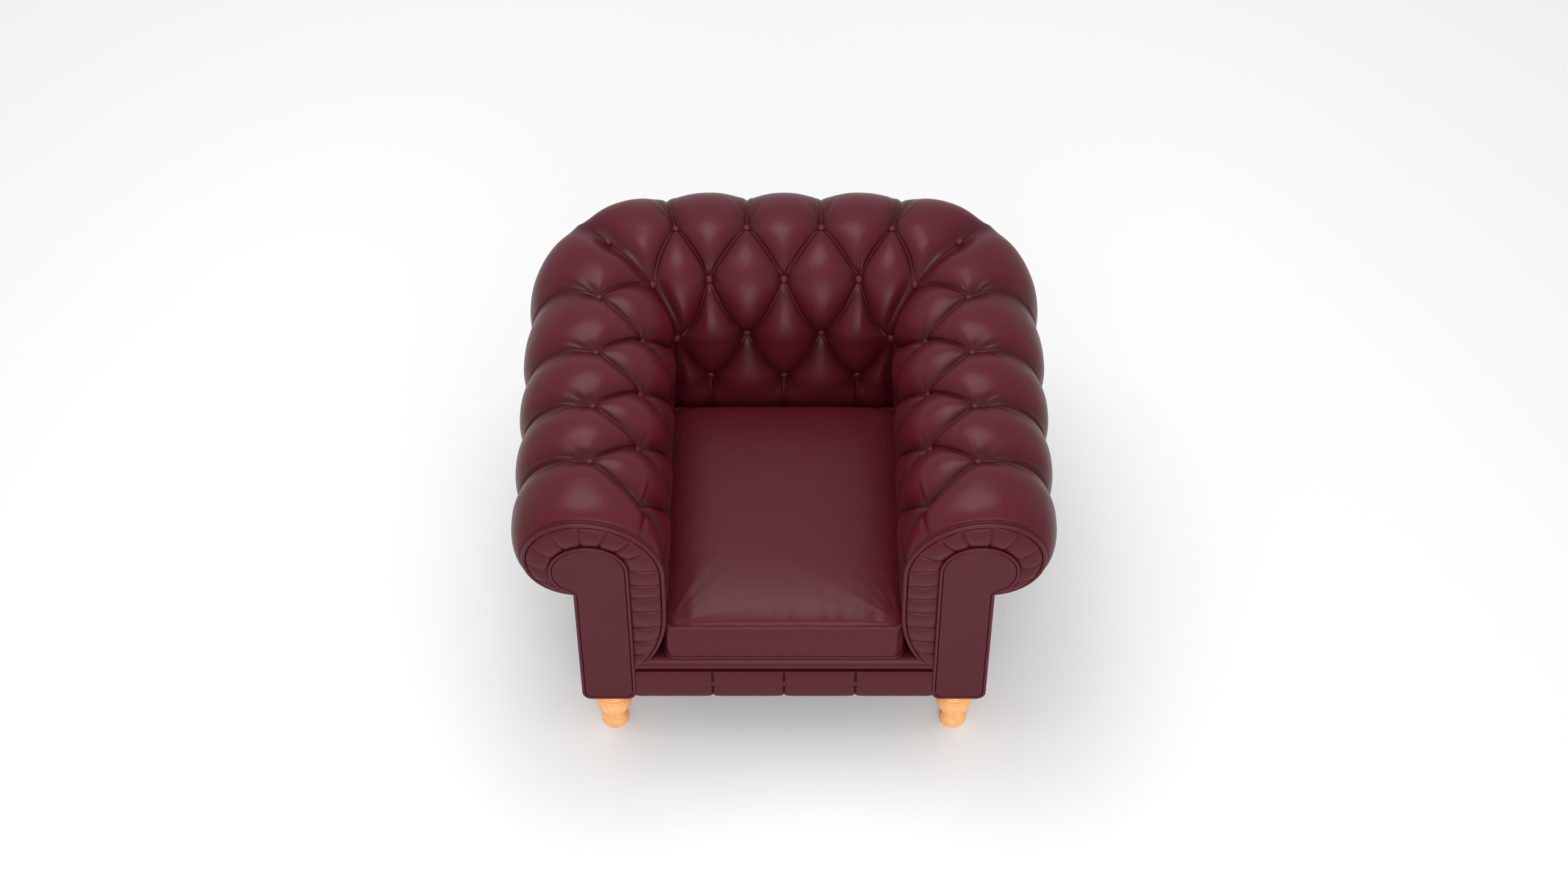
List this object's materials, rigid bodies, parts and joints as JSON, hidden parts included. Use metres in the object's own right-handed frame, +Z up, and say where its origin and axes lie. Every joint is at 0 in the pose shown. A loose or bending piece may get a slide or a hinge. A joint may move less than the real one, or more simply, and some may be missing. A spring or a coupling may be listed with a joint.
{
  "type": "armchair",
  "caption": "Deep-buttoned armchair with rolled arms and a rolled back of the same height, scrolled fronts with a pleated border, a loose box seat cushion and turned front feet",
  "frame": {"origin": "centre of the footprint, on the floor", "axes": "+X to the sitter's left, +Y to the back, +Z up; the front faces -Y"},
  "size_m": [1.0896, 0.9828, 0.7416],
  "materials": {
    "leather": "smooth satin burgundy upholstery leather",
    "turned_wood": "honey brown stained and lacquered hardwood",
    "frame_wood": "sawn hardwood and plywood, unfinished",
    "webbing": "woven elastic webbing",
    "lining": "black woven lining cloth",
    "foam": "foam block, never seen in use",
    "plastic": "dark moulded plastic",
    "steel": "zinc plated steel"
  },
  "bodies": {
    "chair": {"arm_buttons_left": "leather", "arm_buttons_right": "leather", "arm_pad_left": "leather", "arm_pad_right": "leather", "arm_tack_rail_left": "frame_wood", "arm_tack_rail_right": "frame_wood", "arm_top_board_left": "frame_wood", "arm_top_board_right": "frame_wood", "arm_upright_left": "frame_wood", "arm_upright_right": "frame_wood", "back_buttons": "leather", "back_pad": "leather", "back_tack_rail": "frame_wood", "back_top_board": "frame_wood", "back_uprights": "frame_wood", "band_buttons": "leather", "corner_blocks": "frame_wood", "corner_buttons": "leather", "corner_gusset_left": "frame_wood", "corner_gusset_right": "frame_wood", "dust_cover": "lining", "facing_left": "leather", "facing_right": "leather", "facing_welt_left": "leather", "facing_welt_right": "leather", "foot_glides": "plastic", "front_band": "leather", "front_feet": "turned_wood", "front_post_left": "frame_wood", "front_post_right": "frame_wood", "hanger_bolts": "steel", "outside_arm_left": "leather", "outside_arm_right": "leather", "outside_back": "leather", "rear_feet": "turned_wood", "rear_post_left": "frame_wood", "rear_post_right": "frame_wood", "scroll_board_left": "frame_wood", "scroll_board_right": "frame_wood", "scroll_fan_left": "leather", "scroll_fan_right": "leather", "scroll_welt_left": "leather", "scroll_welt_right": "leather", "seat_corner_rail_left": "frame_wood", "seat_corner_rail_right": "frame_wood", "seat_deck": "lining", "seat_lip": "leather", "seat_rail_back": "frame_wood", "seat_rail_front": "frame_wood", "seat_rail_left": "frame_wood", "seat_rail_right": "frame_wood", "webbing_across": "webbing", "webbing_along": "webbing"},
    "cushion": {"cushion_cover": "leather", "cushion_foam": "foam", "cushion_welt_bottom": "leather", "cushion_welt_top": "leather"}
  },
  "joints": [
    {"name": "cushion_slide", "type": "slide", "parent": "chair", "child": "cushion", "axis": [0, -1, 0], "range_m": [0, 0.6]}
  ]
}
